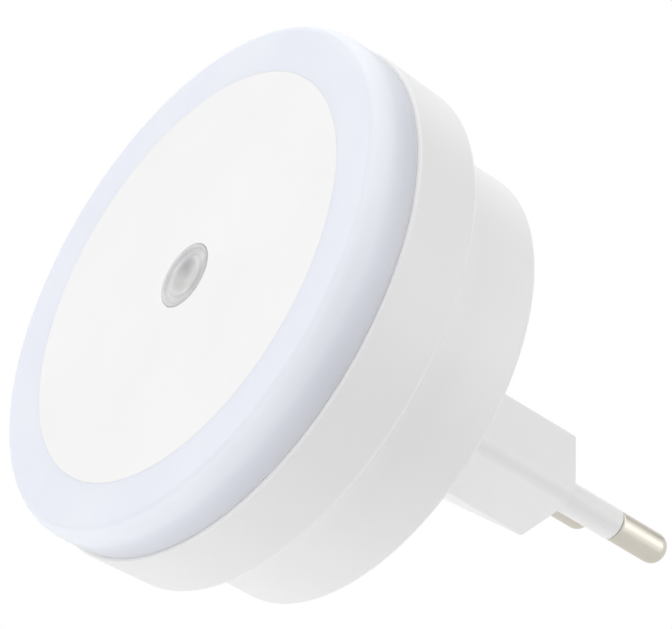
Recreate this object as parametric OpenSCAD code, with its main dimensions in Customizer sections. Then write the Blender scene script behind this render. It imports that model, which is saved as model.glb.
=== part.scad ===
// Round plug-in night light with a dusk sensor and a two-pin wall plug.
// +Y points into the wall, -Y faces the room and +Z is up. The origin is the
// middle of the plug's face, between the two pins. Lengths are millimetres.

/* [Plug] */
// Diameter of the metal end of each pin
pin_d = 4; // [3.9:0.05:4.1]
// Length of a pin from the plug's face to its tip
pin_length = 19; // [17:0.5:21]
// Distance between the two pin centres
pin_spacing = 19; // [18:0.25:19.5]
// Radius of the rounded rim of a pin's tip
pin_tip_round = 1.6; // [1:0.1:1.8]
// Radius of the rounded edge where a pin's metal end meets its sleeve
pin_shoulder_round = 0.3; // [0.2:0.05:0.5]
// Diameter of the pin's core inside its sleeve
pin_core_d = 2.8; // [2.4:0.1:3]
// Diameter of the pin's head inside the plug
pin_head_d = 5.2; // [4.6:0.1:5.6]
// Thickness of the pin's head
pin_head_t = 1.2; // [0.8:0.1:2]
// Diameter of the solder cup behind the pin's head
pin_cup_d = 3; // [2.6:0.1:3.4]
// Length of the solder cup
pin_cup_length = 6; // [4.5:0.5:8]
// Outer diameter of a pin's insulating sleeve
sleeve_d = 4.1; // [3.9:0.05:4.2]
// Length of the sleeve outside the plug's face
sleeve_length = 10.8; // [8:0.1:11]
// Radius of the rounded edge at the sleeve's end
sleeve_end_round = 0.25; // [0.2:0.05:0.35]
// Depth of the sleeve's seat in the plug's face
sleeve_seat = 3; // [2:0.5:4]
// Height of the plug body between its two flat sides
plug_height = 14; // [12.5:0.1:15]
// Distance from a pin's centre to the plug body's sharp corner beside it
plug_margin = 7.2; // [6.2:0.05:8.2]
// Rounding of the plug body's two outer corners
plug_apex_r = 2; // [1.5:0.1:3]
// Rounding of the plug body's other four corners
plug_corner_r = 0.8; // [0.3:0.1:1.2]
// How far the plug's face stands out of the housing
plug_reach = 23; // [20:0.2:28]
// Thickness of the solid block that holds the pins
plug_block = 9; // [7:0.5:12]
// Wall of the hollow plug body
plug_wall = 1.8; // [1.4:0.1:2.2]
// Thickness of the plug's flange inside the housing
flange_t = 2; // [1.5:0.1:3]
// How far the flange reaches over the plug's flat sides
flange_lip = 0.9; // [0.6:0.1:1.2]

/* [Housing] */
// Diameter of the light at the seam between ring and housing
rim_d = 69.7; // [69:0.1:74]
// Narrowing of the wide tier's radius from the seam to the step
rim_draft = 0.55; // [0:0.05:1.2]
// Depth of the wide tier
wide_depth = 9.6; // [8.5:0.1:12]
// Step of the radius from the wide tier in to the narrow tier
step_width = 4.5; // [4.2:0.1:6]
// Narrowing of the narrow tier's radius from the step to the back
narrow_draft = 0.3; // [0:0.1:0.8]
// Depth of the narrow tier
narrow_depth = 13.8; // [13.5:0.1:18]
// Wall thickness of the housing
wall = 2; // [1.6:0.1:2.4]
// Rounding of the housing's two back edges
edge_r = 0.8; // [0.3:0.1:1.5]
// Rounding of the housing's front lip
lip_r = 0.35; // [0.1:0.05:0.5]
// Diameter of the posts that carry the board
post_d = 5.6; // [5:0.1:6]
// Diameter of the pads under the plug's flange
pad_d = 6; // [5:0.1:6.5]
// Height of the pads under the plug's flange
pad_height = 3; // [2.5:0.1:4]

/* [Diffuser ring] */
// Width of the ring round the disc
ring_width = 7.3; // [7:0.05:9]
// Depth of the ring from its flat front to the seam
ring_depth = 6.8; // [6:0.1:9]
// How far the ring's side stands in from the housing's lip
ring_inset = 0.2; // [0:0.05:0.4]
// Width of the ring's outer rounding
round_width = 1.5; // [1:0.1:3]
// Depth of the ring's outer rounding
round_depth = 2.5; // [2:0.1:5]
// Thickness of the ring's front over the light channel
ring_front_t = 2; // [1.5:0.1:2.5]
// Thickness of the ring's inner wall
ring_wall = 1.2; // [1:0.1:1.5]
// Width of the ledge under the disc
ledge_width = 1.8; // [1.4:0.1:2.4]
// Thickness of the ledge under the disc
ledge_t = 1.4; // [1:0.1:1.8]
// Thickness of the skirt
skirt_t = 1.4; // [1.2:0.1:1.6]
// Radius of the snap bead round the skirt
bead_r = 0.4; // [0.3:0.05:0.5]

/* [Front disc] */
// Thickness of the disc
disc_t = 1.8; // [1.6:0.1:2.2]
// Length of the disc's skirt inside the ring
disc_skirt = 1.8; // [1.5:0.1:2.5]
// Wall of the disc's skirt and collar
disc_wall = 1.1; // [0.9:0.1:1.3]
// Diameter of the clear window in the disc
window_d = 8.5; // [8.2:0.1:9]
// Thickness of the disc's ledge under the window
window_ledge = 0.4; // [0.3:0.05:0.6]
// Diameter of the window's raised middle lens
lens_d = 5.4; // [4.5:0.1:5.6]
// Depth of the window's dish round the lens
dish_depth = 0.7; // [0.4:0.05:0.8]

/* [Sensor] */
// Diameter of the light sensor's body
sensor_d = 5; // [4:0.1:5.2]
// Height of the light sensor's body without its dome
sensor_body = 3.6; // [3:0.1:4]
// Gap between the sensor's dome and the disc's back
sensor_gap = 0.5; // [0.3:0.1:1.5]
// Gap between the sensor's flange and the tube round it
shroud_gap = 0.45; // [0.2:0.05:0.6]
// Wall of the tube round the sensor
shroud_wall = 0.9; // [0.7:0.1:1]

/* [Board and tray] */
// Thickness of the circuit board
board_t = 1.6; // [1:0.2:1.6]
// Gap between the housing's step and the board
board_lift = 0.5; // [0.3:0.1:1]
// Gap round the board's edge inside the housing
board_gap = 0.5; // [0.4:0.1:0.8]
// Thickness of the reflector tray
tray_t = 1; // [0.8:0.1:1.2]
// Height of the tray's floor above the board
tray_lift = 1.4; // [1.2:0.1:1.5]
// Width of the foot round the tray's edge
tray_foot = 0.7; // [0.5:0.1:0.8]
// Length of a chip along the ring
led_length = 3.5; // [3:0.1:4]
// Width of a chip across the ring
led_width = 2.4; // [2:0.1:2.4]
// Height of a chip
led_height = 0.8; // [0.6:0.1:1]
// Diameter of the insulated wires
wire_d = 1.8; // [1.5:0.1:2]
// Sideways step of the wires below the board
wire_shift = 6; // [5:0.5:6.5]

/* [Fits] */
// Gap round pieces that are pressed or moulded in
press_gap = 0.05; // [0.02:0.01:0.08]
// Gap round pieces that are clipped or dropped in
seat_gap = 0.1; // [0.05:0.01:0.15]
// Open seam between the ring and the housing
seam_gap = 0.15; // [0.1:0.05:0.4]
// Gap between the ring's skirt and the tray under it
skirt_gap = 0.3; // [0.2:0.05:0.5]

/* [Hidden] */
$fn = 96;

// Line segments in each rounded corner and in the ring's large rounding
corner_steps = 5;
round_steps = 12;
// Smallest rounding of the plug's outline where it is cut smaller
corner_min = 0.3;
// Extra length of a cut past the face that it opens
cut = 0.5;
// Rim round the light sensor's foot
sensor_flange_w = 0.35;
sensor_flange_h = 0.8;
// Number of light-emitting chips round the board, one node each
led_count = 6;

// Levels above the plug's face, measured towards the room
back_z = plug_reach;
floor_z = back_z + wall;
step_z = back_z + narrow_depth;
shelf_z = step_z + wall;
seam_z = step_z + wide_depth;
face_z = seam_z + ring_depth;
pad_z = floor_z + pad_height;
flange_z = pad_z + flange_t;
board_z = shelf_z + board_lift;
board_top = board_z + board_t;
tray_z = board_top + tray_lift;
tray_top = tray_z + tray_t;
skirt_z = tray_top + skirt_gap;
bead_z = (seam_z + skirt_z) / 2;
ledge_z = face_z - disc_t;
ledge_bottom = ledge_z - ledge_t;
window_t = disc_t - window_ledge;
window_seat_z = ledge_z + window_ledge;
head_z = plug_block + pin_head_t;
cup_z = head_z + pin_cup_length;

// Radii about the light's middle line
rim_r = rim_d / 2;
ring_r = rim_r - ring_inset;
wide_back_r = rim_r - rim_draft;
wide_in_r = wide_back_r - wall;
narrow_front_r = wide_back_r - step_width;
narrow_back_r = narrow_front_r - narrow_draft;
narrow_in_r = narrow_back_r - wall;
skirt_out_r = wide_in_r - seat_gap;
skirt_in_r = skirt_out_r - skirt_t;
disc_r = rim_r - ring_width;
recess_r = disc_r + seat_gap;
channel_in_r = recess_r + ring_wall;
ledge_in_r = recess_r - ledge_width;
disc_skirt_r = ledge_in_r - seat_gap;
board_r = wide_in_r - board_gap;
tray_r = wide_in_r - board_gap / 2;
led_r = (channel_in_r + skirt_in_r) / 2;
sensor_flange_r = sensor_d / 2 + sensor_flange_w;
shroud_in_r = sensor_flange_r + shroud_gap;
shroud_r = shroud_in_r + shroud_wall;

// The tray's upright wall stands under the ring's inner wall
tray_wall_out_r = channel_in_r - seat_gap;
tray_wall_in_r = tray_wall_out_r - ring_wall;
tray_wall_top = ledge_bottom - seat_gap;

// Board screws, their posts and the slim ribs that tie the posts to the wall
post_angles = [90, 210, 330];
post_wall_gap = 1.2;
post_circle_r = narrow_in_r - post_d / 2 - post_wall_gap;
rib_t = 1.2;
rib_drop = 2;

// The plug's sharp corners, and the ears of its flange beyond them
plug_width = pin_spacing + 2 * plug_margin;
ear_gap = 0.6;
ear_x = plug_width / 2 + pad_d / 2 + ear_gap;

// Pan-head screw: shank, head, drive recess, and the hole it is driven into
screw_d = 2.2;
screw_head_d = 4;
screw_head_h = 1.4;
screw_point = 1;
drive_width = 0.6;
drive_length = 2.4;
drive_depth = 0.7;
screw_head_gap = 0.5;
pilot_spare = 0.5;
board_screw_grip = 5.4;
plug_screw_grip = 3.5;
board_screw_length = board_t + board_screw_grip;
plug_screw_length = flange_t + plug_screw_grip;

// Wire leads of the components, their board holes and solder cones
lead_r = 0.3;
lead_hole_r = lead_r + 0.15;
lead_bend = 0.9;
solder_r = 0.8;
solder_h = 0.7;
standoff = 0.4;
lead_root = 0.2;
resistor_round = 0.7;
zener_round = 0.4;
wire_core_r = 0.5;
wire_hole_r = wire_core_r + 0.15;
wire_strip = 1;
wire_dip = 3;
wire_run = 0.8;
wire_bend = wire_shift / 2;
wire_y = -wire_shift;
cup_hole_r = wire_core_r + press_gap;

// Places of the components on the board, and the pitch of their leads
film_at = [-10, 13];
film_size = [13, 6, 10.5];
film_pitch = 10;
film_corner = 0.8;
can_at = [9.5, 13.5];
can_d = 8;
can_h = 11;
can_pitch = 3.5;
bridge_at = [0, -17];
bridge_size = [8.4, 6.4, 3.2];
bridge_pitch = [5.1, 7.6];
bleeder_at = [-8, -9.2];
bleeder_size = [6.3, 2.4];
bleeder_pitch = 10;
fusible_at = [7.5, -9.6];
fusible_size = [7.5, 3.2];
fusible_pitch = 11.4;
led_resistor_at = [12, 5];
led_resistor_size = [6.3, 2.4];
led_resistor_pitch = 10;
zener_at = [-2, 5.6];
zener_size = [4, 1.9];
zener_pitch = 7.6;
transistor_at = [-17.6, 5.2];
transistor_r = 2.35;
transistor_flat = 1.3;
transistor_h = 4.7;
transistor_lead = 2.6;
transistor_pitch = 1.9;
sensor_pitch = 2.54;

// ---------------------------------------------------------------- functions

function unit(v) = v / norm(v);

// Points of an arc of radius r that rounds the corner b between a and c
function corner_arc(a, b, c, r) =
    r <= 0 ? [b] :
    let (u = unit(a - b),
         v = unit(c - b),
         half = acos(u * v) / 2,
         centre = b + unit(u + v) * r / sin(half),
         first = b + u * r / tan(half) - centre,
         last = b + v * r / tan(half) - centre)
    [for (i = [0:corner_steps])
        let (t = i / corner_steps)
        centre + unit(first * (1 - t) + last * t) * r];

// Outline through points, with the corner at each one rounded by its radius
function rounded(points, radii) =
    let (n = len(points))
    [for (i = [0:n - 1])
        each corner_arc(points[(i + n - 1) % n], points[i],
                        points[(i + 1) % n], radii[i])];

// Rectangle about the origin with rounded corners
function rounded_box(width, height, r) =
    let (x = width / 2, y = height / 2)
    rounded([[x, -y], [x, y], [-x, y], [-x, -y]], [r, r, r, r]);

// The plug's six-sided outline with slanted ends, grown by a margin
function plug_outline(grow) =
    let (h = plug_height / 2 + grow,
         w = plug_width / 2 + grow * sqrt(2),
         f = w - h,
         apex = max(plug_apex_r + grow, corner_min),
         corner = max(plug_corner_r + grow, corner_min))
    rounded([[w, 0], [f, h], [-f, h], [-w, 0], [-f, -h], [f, -h]],
            [apex, corner, corner, apex, corner, corner]);

// Where the two leads of a component pass through the board
function lead_pair(at, pitch, angle = 0) =
    [for (side = [-1, 1]) at + side * pitch / 2 * [cos(angle), sin(angle)]];

bridge_leads = [for (x = [-1, 1], y = [-1, 1])
    bridge_at + [x * bridge_pitch[0], y * bridge_pitch[1]] / 2];
transistor_leads = [for (i = [-1:1])
    transistor_at + [0, i * transistor_pitch]];
lead_points = concat(
    lead_pair(film_at, film_pitch), lead_pair(can_at, can_pitch),
    bridge_leads, transistor_leads,
    lead_pair(bleeder_at, bleeder_pitch),
    lead_pair(fusible_at, fusible_pitch),
    lead_pair(led_resistor_at, led_resistor_pitch),
    lead_pair(zener_at, zener_pitch), lead_pair([0, 0], sensor_pitch));
wire_points = [for (side = [-1, 1]) [side * pin_spacing / 2, wire_y]];

// ------------------------------------------------------------ shared pieces

// Stands a piece drawn upwards from the plug's face out into the room
module from_wall() {
    rotate([90, 0, 0]) children();
}

// Repeats a piece at each board post
module at_posts() {
    for (angle = post_angles)
        rotate([0, 0, angle]) translate([post_circle_r, 0, 0]) children();
}

// Repeats a piece at the two ears of the plug's flange
module at_ears() {
    for (side = [-1, 1]) translate([side * ear_x, 0, 0]) children();
}

// A straight lead up through the board, ending in its solder cone
module board_lead(at, from_z) {
    translate([at[0], at[1], from_z])
        cylinder(r = lead_r, h = board_top + solder_h - from_z);
    translate([at[0], at[1], board_top])
        cylinder(r1 = solder_r, r2 = lead_r, h = solder_h);
}

// A part with a round body lying under the board on two bent leads
module axial_part(at, size, pitch, end_round) {
    body_r = size[1] / 2;
    middle_z = board_z - standoff - body_r;
    reach = pitch / 2 - lead_bend - size[0] / 2;
    translate([at[0], at[1], middle_z]) rotate([0, 90, 0])
        rotate_extrude() polygon(rounded(
            [[0, -size[0] / 2], [body_r, -size[0] / 2],
             [body_r, size[0] / 2], [0, size[0] / 2]],
            [0, end_round, end_round, 0]));
    for (side = [0, 180])
        translate([at[0], at[1], middle_z]) rotate([0, 0, side]) {
            translate([size[0] / 2 - lead_root, 0, 0]) rotate([0, 90, 0])
                cylinder(r = lead_r, h = reach + lead_root);
            translate([pitch / 2 - lead_bend, 0, lead_bend])
                rotate([90, 0, 0]) rotate([0, 0, -90])
                    rotate_extrude(angle = 90)
                        translate([lead_bend, 0]) circle(r = lead_r);
        }
    for (point = lead_pair(at, pitch))
        board_lead(point, middle_z + lead_bend);
}

// A pan-head screw pointing down, with the seat of its head at the origin
module pan_screw(length) {
    difference() {
        rotate_extrude() polygon(rounded(
            [[0, screw_head_h], [screw_head_d / 2, screw_head_h],
             [screw_head_d / 2, 0], [screw_d / 2, 0],
             [screw_d / 2, screw_point - length], [0, -length]],
            [0, screw_head_h / 2, 0, 0, 0, 0]));
        for (angle = [0, 90])
            rotate([0, 0, angle])
                translate([-drive_length / 2, -drive_width / 2,
                           screw_head_h - drive_depth])
                    cube([drive_length, drive_width, drive_depth + cut]);
    }
}

// ------------------------------------------------------- front of the light

module front_disc() {
    collar_in_r = shroud_r + seat_gap;
    seat_r = window_d / 2 + press_gap;
    seat_edge = 0.8;
    color([0.965, 0.965, 0.965]) from_wall() difference() {
        union() {
            translate([0, 0, ledge_z]) cylinder(r = disc_r, h = disc_t);
            translate([0, 0, ledge_z - disc_skirt])
                cylinder(r = disc_skirt_r, h = disc_skirt);
        }
        difference() {
            translate([0, 0, ledge_z - disc_skirt - cut])
                cylinder(r = disc_skirt_r - disc_wall, h = disc_skirt + cut);
            translate([0, 0, ledge_z - disc_skirt])
                cylinder(r = collar_in_r + disc_wall, h = disc_skirt + cut);
        }
        translate([0, 0, ledge_z - disc_skirt - cut])
            cylinder(r = collar_in_r, h = disc_skirt + cut);
        translate([0, 0, window_seat_z])
            cylinder(r = seat_r, h = window_t + cut);
        translate([0, 0, ledge_z - cut])
            cylinder(r = seat_r - seat_edge, h = disc_t);
    }
}

module sensor_window() {
    r = window_d / 2;
    lens_r = lens_d / 2;
    rim = 0.35;
    lens_edge = 0.3;
    lens_rise = 0.35;
    dish_z = window_t - dish_depth;
    color([0.80, 0.80, 0.79, 0.6]) from_wall()
        translate([0, 0, window_seat_z]) rotate_extrude()
            polygon(rounded(
                [[0, 0], [r, 0], [r, window_t], [r - rim, window_t],
                 [lens_r + lens_edge, dish_z], [lens_r, dish_z],
                 [lens_r * 0.6, dish_z + lens_rise],
                 [0, dish_z + lens_rise]],
                [0, 0, 0, 0, 0, 0, lens_r / 2, 0]));
}

module sensor_shroud() {
    top = ledge_z - seat_gap;
    color([0.62, 0.62, 0.63]) from_wall() difference() {
        translate([0, 0, board_top])
            cylinder(r = shroud_r, h = top - board_top);
        translate([0, 0, board_top - cut])
            cylinder(r = shroud_in_r, h = top - board_top + 2 * cut);
    }
}

module photo_sensor() {
    r = sensor_d / 2;
    base_z = ledge_z - sensor_gap - r - sensor_body;
    color([0.82, 0.83, 0.84]) from_wall() {
        translate([0, 0, base_z]) rotate_extrude() polygon(concat(
            [[0, 0], [sensor_flange_r, 0],
             [sensor_flange_r, sensor_flange_h], [r, sensor_flange_h]],
            [for (i = [0:round_steps])
                let (a = 90 * i / round_steps)
                [r * cos(a), sensor_body + r * sin(a)]]));
        for (point = lead_pair([0, 0], sensor_pitch)) {
            translate([point[0], point[1], board_z - solder_h])
                cylinder(r = lead_r, h = base_z - board_z + solder_h);
            translate([point[0], point[1], board_z - solder_h])
                cylinder(r1 = lead_r, r2 = solder_r, h = solder_h);
        }
    }
}

module diffuser_ring() {
    bottom = seam_z + seam_gap;
    roof = face_z - ring_front_t;
    color([0.93, 0.945, 0.985]) from_wall() union() {
        rotate_extrude() polygon(concat(
            [[recess_r, face_z]],
            [for (i = [0:round_steps])
                let (a = 90 * i / round_steps)
                [ring_r - round_width * (1 - sin(a)),
                 face_z - round_depth * (1 - cos(a))]],
            [[ring_r, bottom], [skirt_out_r, bottom],
             [skirt_out_r, skirt_z], [skirt_in_r, skirt_z],
             [skirt_in_r, roof],
             [channel_in_r, roof], [channel_in_r, ledge_bottom],
             [ledge_in_r, ledge_bottom], [ledge_in_r, ledge_z],
             [recess_r, ledge_z]]));
        rotate_extrude() translate([skirt_out_r - press_gap, bead_z])
            circle(r = bead_r);
    }
}

module reflector_tray() {
    window_gap = 0.3;
    shroud_hole_r = shroud_r + seat_gap;
    head_hole_r = screw_head_d / 2 + screw_head_gap;
    window = [led_width + 2 * window_gap, led_length + 2 * window_gap];
    color([0.97, 0.97, 0.96]) from_wall() difference() {
        union() {
            translate([0, 0, tray_z]) cylinder(r = tray_r, h = tray_t);
            translate([0, 0, board_top]) cylinder(r = tray_r, h = tray_lift);
            translate([0, 0, tray_z])
                cylinder(r = tray_wall_out_r, h = tray_wall_top - tray_z);
        }
        translate([0, 0, board_top - cut])
            cylinder(r = tray_r - tray_foot, h = tray_lift + cut);
        translate([0, 0, tray_top])
            cylinder(r = tray_wall_in_r, h = tray_wall_top - tray_top + cut);
        translate([0, 0, tray_z - cut])
            cylinder(r = shroud_hole_r, h = tray_t + 2 * cut);
        translate([0, 0, tray_z - cut]) at_posts()
            cylinder(r = head_hole_r, h = tray_t + 2 * cut);
        for (i = [0:led_count - 1])
            rotate([0, 0, 360 * i / led_count])
                translate([led_r - window[0] / 2, -window[1] / 2,
                           tray_z - cut])
                    cube([window[0], window[1], tray_t + 2 * cut]);
    }
}

// --------------------------------------------------------- housing and plug

module rear_housing() {
    inner_fillet = 0.6;
    pilot_r = screw_d / 2 + press_gap;
    pilot_depth = board_screw_grip + pilot_spare;
    ear_pilot = plug_screw_grip + pilot_spare;
    color([0.885, 0.885, 0.885]) from_wall() difference() {
        union() {
            rotate_extrude() polygon(rounded(
                [[0, back_z], [narrow_back_r, back_z],
                 [narrow_front_r, step_z], [wide_back_r, step_z],
                 [rim_r, seam_z], [wide_in_r, seam_z],
                 [wide_in_r, shelf_z], [narrow_in_r, shelf_z],
                 [narrow_in_r, floor_z], [0, floor_z]],
                [0, edge_r, inner_fillet, edge_r, lip_r, lip_r,
                 inner_fillet, inner_fillet, inner_fillet, 0]));
            translate([0, 0, floor_z - cut]) at_posts() {
                cylinder(d = post_d, h = board_z - floor_z + cut);
                translate([0, -rib_t / 2, 0])
                    cube([post_d / 2 + post_wall_gap + wall / 2, rib_t,
                          board_z - floor_z - rib_drop]);
            }
            translate([0, 0, floor_z - cut]) at_ears()
                cylinder(d = pad_d, h = pad_height + cut);
        }
        translate([0, 0, back_z - cut]) linear_extrude(wall + 2 * cut)
            polygon(plug_outline(seat_gap));
        translate([0, 0, board_z - pilot_depth]) at_posts()
            cylinder(r = pilot_r, h = pilot_depth + cut);
        translate([0, 0, pad_z - ear_pilot]) at_ears()
            cylinder(r = pilot_r, h = ear_pilot + cut);
        rotate_extrude() translate([skirt_out_r - press_gap, bead_z])
            circle(r = bead_r + press_gap);
    }
}

module plug_body() {
    flange_w = 2 * ear_x + pad_d;
    flange_h = plug_height + 2 * flange_lip;
    flange_r = 3;
    color([0.895, 0.895, 0.895]) from_wall() difference() {
        union() {
            linear_extrude(flange_z) polygon(plug_outline(0));
            translate([0, 0, pad_z]) linear_extrude(flange_t)
                polygon(rounded_box(flange_w, flange_h, flange_r));
        }
        translate([0, 0, plug_block])
            linear_extrude(flange_z - plug_block + cut)
                polygon(plug_outline(-plug_wall));
        for (side = [-1, 1]) translate([side * pin_spacing / 2, 0, 0]) {
            translate([0, 0, -cut])
                cylinder(r = pin_core_d / 2 + press_gap,
                         h = plug_block + 2 * cut);
            translate([0, 0, -cut])
                cylinder(r = sleeve_d / 2 + press_gap,
                         h = sleeve_seat + cut);
            translate([0, 0, plug_block])
                cylinder(r = pin_head_d / 2 + press_gap,
                         h = flange_z - plug_block + cut);
        }
        translate([0, 0, pad_z - cut]) at_posts()
            cylinder(r = post_d / 2 + screw_head_gap,
                     h = flange_t + 2 * cut);
        translate([0, 0, pad_z - cut]) at_ears()
            cylinder(r = screw_d / 2 + seat_gap, h = flange_t + 2 * cut);
    }
}

module contact_pin(side) {
    r = pin_d / 2;
    core_r = pin_core_d / 2;
    shoulder_z = -sleeve_length - press_gap;
    cup_depth = wire_dip + 1;
    color([0.84, 0.82, 0.76]) from_wall()
        translate([side * pin_spacing / 2, 0, 0]) rotate_extrude()
            polygon(rounded(
                [[0, -pin_length], [r, -pin_length], [r, shoulder_z],
                 [core_r, shoulder_z], [core_r, plug_block],
                 [pin_head_d / 2, plug_block], [pin_head_d / 2, head_z],
                 [pin_cup_d / 2, head_z], [pin_cup_d / 2, cup_z],
                 [cup_hole_r, cup_z], [cup_hole_r, cup_z - cup_depth],
                 [0, cup_z - cup_depth]],
                [0, pin_tip_round, pin_shoulder_round,
                 0, 0, 0, 0, 0, 0, 0, 0, 0]));
}

module pin_sleeve(side) {
    in_r = pin_core_d / 2 + press_gap;
    color([0.90, 0.90, 0.895]) from_wall()
        translate([side * pin_spacing / 2, 0, 0]) rotate_extrude()
            polygon(rounded(
                [[in_r, -sleeve_length], [sleeve_d / 2, -sleeve_length],
                 [sleeve_d / 2, sleeve_seat - press_gap],
                 [in_r, sleeve_seat - press_gap]],
                [0, sleeve_end_round, 0, 0]));
}

// A quarter of a wire's S-bend, from straight up at the origin towards +y
module wire_quarter() {
    translate([0, wire_bend, 0]) rotate([90, 0, -90])
        rotate_extrude(angle = 90)
            translate([wire_bend, 0]) circle(d = wire_d);
}

// A mains wire from a pin's solder cup up to the board, with an S-bend
// between the plug's flange and the board
module mains_wire(side) {
    start_z = cup_z + seat_gap;
    end_z = board_z - wire_strip;
    high_z = end_z - wire_run;
    low_z = high_z - 2 * wire_bend;
    from_wall() translate([side * pin_spacing / 2, 0, 0])
        rotate([0, 0, 180]) {
            translate([0, 0, start_z])
                cylinder(d = wire_d, h = low_z - start_z);
            translate([0, 0, low_z]) wire_quarter();
            translate([0, wire_shift, high_z])
                rotate([180, 0, 0]) wire_quarter();
            translate([0, wire_shift, high_z])
                cylinder(d = wire_d, h = wire_run);
            translate([0, 0, cup_z - wire_dip])
                cylinder(r = wire_core_r, h = wire_dip + 2 * seat_gap);
            translate([0, wire_shift, end_z - seat_gap])
                cylinder(r = wire_core_r,
                         h = board_top + solder_h - end_z + seat_gap);
            translate([0, wire_shift, board_top])
                cylinder(r1 = 2 * wire_core_r, r2 = wire_core_r,
                         h = solder_h);
        }
}

// ------------------------------------------------------------ circuit board

module circuit_board() {
    screw_hole_r = screw_d / 2 + seat_gap;
    color([0.16, 0.42, 0.27]) from_wall()
        translate([0, 0, board_z]) difference() {
            cylinder(r = board_r, h = board_t);
            translate([0, 0, -cut]) {
                at_posts() cylinder(r = screw_hole_r, h = board_t + 2 * cut);
                for (point = lead_points)
                    translate([point[0], point[1], 0])
                        cylinder(r = lead_hole_r, h = board_t + 2 * cut);
                for (point = wire_points)
                    translate([point[0], point[1], 0])
                        cylinder(r = wire_hole_r, h = board_t + 2 * cut);
            }
        }
}

module led(index) {
    dish_r = 0.9;
    dish_slope = 0.15;
    dish_deep = 0.3;
    color([0.96, 0.93, 0.72]) from_wall()
        rotate([0, 0, 360 * (index - 1) / led_count])
            translate([led_r, 0, board_top]) difference() {
                translate([-led_width / 2, -led_length / 2, 0])
                    cube([led_width, led_length, led_height]);
                translate([0, 0, led_height - dish_deep])
                    cylinder(r1 = dish_r - dish_slope, r2 = dish_r,
                             h = dish_deep + press_gap);
            }
}

module film_capacitor() {
    top = board_z - standoff;
    color([0.80, 0.62, 0.22]) from_wall() {
        translate([film_at[0], film_at[1], top - film_size[2]])
            linear_extrude(film_size[2]) polygon(
                rounded_box(film_size[0], film_size[1], film_corner));
        for (point = lead_pair(film_at, film_pitch))
            board_lead(point, top - lead_root);
    }
}

module electrolytic_capacitor() {
    top = board_z - standoff;
    r = can_d / 2;
    edge = 0.6;
    groove_z = 2;
    groove_w = 0.5;
    groove_deep = 0.35;
    color([0.18, 0.19, 0.23]) from_wall() {
        translate([can_at[0], can_at[1], top - can_h]) rotate_extrude()
            polygon(rounded(
                [[0, 0], [r, 0], [r, can_h - groove_z - groove_w],
                 [r - groove_deep, can_h - groove_z],
                 [r, can_h - groove_z + groove_w], [r, can_h], [0, can_h]],
                [0, edge, 0, 0, 0, edge, 0]));
        for (point = lead_pair(can_at, can_pitch))
            board_lead(point, top - lead_root);
    }
}

module bridge_rectifier() {
    top = board_z - standoff;
    notch_r = 0.8;
    color([0.13, 0.13, 0.14]) from_wall() {
        translate([bridge_at[0], bridge_at[1], top - bridge_size[2]])
            difference() {
                translate([-bridge_size[0] / 2, -bridge_size[1] / 2, 0])
                    cube(bridge_size);
                translate([-bridge_size[0] / 2, 0, -cut])
                    cylinder(r = notch_r, h = 2 * cut);
            }
        for (point = bridge_leads) {
            inward = sign(bridge_at[1] - point[1]);
            middle_z = top - bridge_size[2] / 2;
            board_lead(point, middle_z);
            translate([point[0] - lead_r, point[1] - lead_r, middle_z - lead_r])
                cube([2 * lead_r, 2 * lead_r, 2 * lead_r]);
            translate([point[0] - lead_r,
                       point[1] + (inward > 0 ? 0 : -bridge_pitch[1] / 4),
                       middle_z - lead_r])
                cube([2 * lead_r, bridge_pitch[1] / 4, 2 * lead_r]);
        }
    }
}

module bleeder_resistor() {
    color([0.80, 0.70, 0.52]) from_wall()
        axial_part(bleeder_at, bleeder_size, bleeder_pitch,
                   resistor_round);
}

module fusible_resistor() {
    color([0.35, 0.52, 0.44]) from_wall()
        axial_part(fusible_at, fusible_size, fusible_pitch,
                   resistor_round);
}

module led_resistor() {
    color([0.42, 0.60, 0.74]) from_wall()
        axial_part(led_resistor_at, led_resistor_size,
                   led_resistor_pitch, resistor_round);
}

module zener_diode() {
    color([0.72, 0.36, 0.20]) from_wall()
        axial_part(zener_at, zener_size, zener_pitch, zener_round);
}

module switching_transistor() {
    body_top = board_z - transistor_lead;
    color([0.12, 0.12, 0.13]) from_wall() {
        translate([transistor_at[0], transistor_at[1],
                   body_top - transistor_h])
            linear_extrude(transistor_h) intersection() {
                circle(r = transistor_r);
                translate([-transistor_flat, -transistor_r - cut])
                    square([transistor_flat + transistor_r + cut,
                            2 * (transistor_r + cut)]);
            }
        for (point = transistor_leads)
            board_lead(point, body_top - lead_root);
    }
}

module board_screws() {
    color([0.72, 0.72, 0.74]) from_wall()
        translate([0, 0, board_top]) at_posts()
            pan_screw(board_screw_length);
}

module plug_screws() {
    color([0.72, 0.72, 0.74]) from_wall()
        translate([0, 0, flange_z]) at_ears() pan_screw(plug_screw_length);
}

front_disc();
sensor_window();
sensor_shroud();
photo_sensor();
diffuser_ring();
reflector_tray();
rear_housing();
plug_body();
contact_pin(1);  // live_pin
contact_pin(-1);  // neutral_pin
pin_sleeve(1);  // live_sleeve
pin_sleeve(-1);  // neutral_sleeve
color([0.42, 0.26, 0.16]) mains_wire(1);  // live_wire
color([0.20, 0.38, 0.68]) mains_wire(-1);  // neutral_wire
circuit_board();
led(1);  // led_1
led(2);  // led_2
led(3);  // led_3
led(4);  // led_4
led(5);  // led_5
led(6);  // led_6
film_capacitor();
electrolytic_capacitor();
bridge_rectifier();
bleeder_resistor();
fusible_resistor();
led_resistor();
switching_transistor();
zener_diode();
board_screws();
plug_screws();
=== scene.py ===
# Looks of the plug-in night light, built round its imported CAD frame.
#
# Lengths of the pieces are in millimetres and become metres through MM. A
# level is the distance from the plug's face towards the room, so a point at
# (across, level, up) has x = across, y = -level and z = up in the frame. The
# camera and the stage are in metres.
import math

import bmesh
import bpy
from mathutils import Matrix, Vector


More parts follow.
